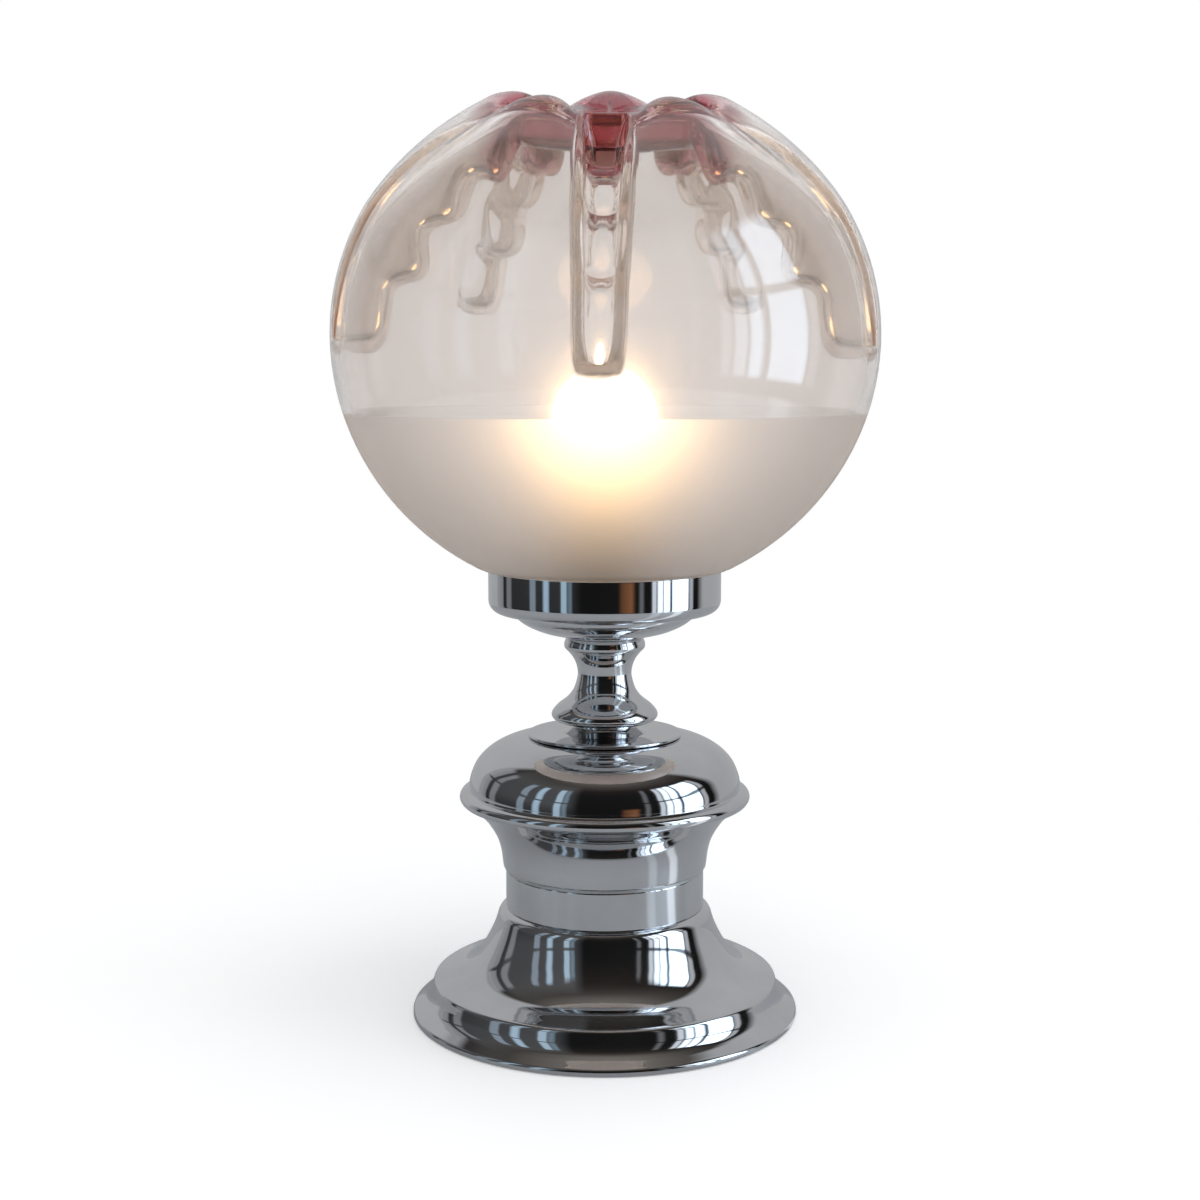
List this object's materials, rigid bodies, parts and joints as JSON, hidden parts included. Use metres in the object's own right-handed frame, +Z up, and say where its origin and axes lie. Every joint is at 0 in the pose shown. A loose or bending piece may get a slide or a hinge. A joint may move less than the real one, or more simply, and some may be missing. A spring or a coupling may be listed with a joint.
{
  "type": "glass globe table lamp",
  "caption": "Table lamp with a folded, partly frosted blown glass globe that lifts off a chromed spun metal pedestal with a screw lampholder.",
  "frame": {"origin": "centre of the felt underside, on the surface the lamp stands on", "axes": "+Z up along the pedestal's axis; -Y is the front that the picture looks at, and the cord leaves at the back, +Y"},
  "size_m": [0.2799, 0.2796, 0.4835],
  "materials": {
    "chrome": "polished chrome plate, lightly hazed with use",
    "zinc_steel": "zinc-plated turned steel",
    "cast_iron": "rough sand casting, dark and dry",
    "felt": "pressed wool felt",
    "fibreboard": "pressed fibreboard disc",
    "black_plastic": "moulded plastic, satin",
    "gasket_rubber": "soft translucent rubber",
    "globe_glass": "blown glass, clear above and frosted inside below, rose-tinted at the crown",
    "brass": "drawn brass, nickel flashed outside",
    "porcelain": "glazed porcelain",
    "bulb_glass": "pearl glass, lit warm white",
    "bulb_cap_metal": "pressed aluminium thread",
    "black_glass": "black vitreous insulator",
    "solder": "solder",
    "clear_glass": "clear lead-free glass",
    "tungsten": "drawn wire"
  },
  "bodies": {
    "stand": {"base_foot": "chrome", "felt_pad": "felt", "bottom_board": "fibreboard", "ballast_weight": "cast_iron", "bottom_washer": "zinc_steel", "bottom_nut": "zinc_steel", "cord_bushing": "black_plastic", "column_band": "chrome", "column_disc": "zinc_steel", "column_collar": "chrome", "dome_cap": "chrome", "seating_disc": "chrome", "stem_spool": "chrome", "stem_baluster": "chrome", "through_rod": "zinc_steel", "fitter_bowl": "chrome", "gallery_ring": "chrome", "globe_gasket": "gasket_rubber", "gallery_washer": "zinc_steel", "gallery_nut": "zinc_steel", "holder_cap": "brass", "holder_lock_screw": "zinc_steel", "holder_shell": "brass", "holder_insert": "porcelain", "thread_shell": "brass", "centre_contact": "brass", "terminal_screws": "brass"},
    "globe_body": {"globe": "globe_glass"},
    "bulb_contact": {"bulb_tip": "solder"},
    "bulb": {"bulb_envelope": "bulb_glass", "bulb_cap": "bulb_cap_metal", "bulb_insulator": "black_glass", "bulb_stem": "clear_glass", "bulb_filament": "tungsten", "filament_wires": "tungsten"}
  },
  "joints": [
    {"name": "globe_lift", "type": "slide", "parent": "stand", "child": "globe_body", "axis": [0, 0, 1], "range_m": [0, 0.14]},
    {"name": "bulb_rise", "type": "slide", "parent": "stand", "child": "bulb_contact", "axis": [0, 0, 1], "range_m": [0, 0.0112]},
    {"name": "bulb_turn", "type": "hinge", "parent": "bulb_contact", "child": "bulb", "pos_m": [0, 0, 0.2645], "axis": [0, 0, 1], "range_deg": [0, 1080]}
  ],
  "couplings": [
    {"joint": "bulb_rise", "follows": "bulb_turn", "m_per_rad": 0.00057757}
  ]
}
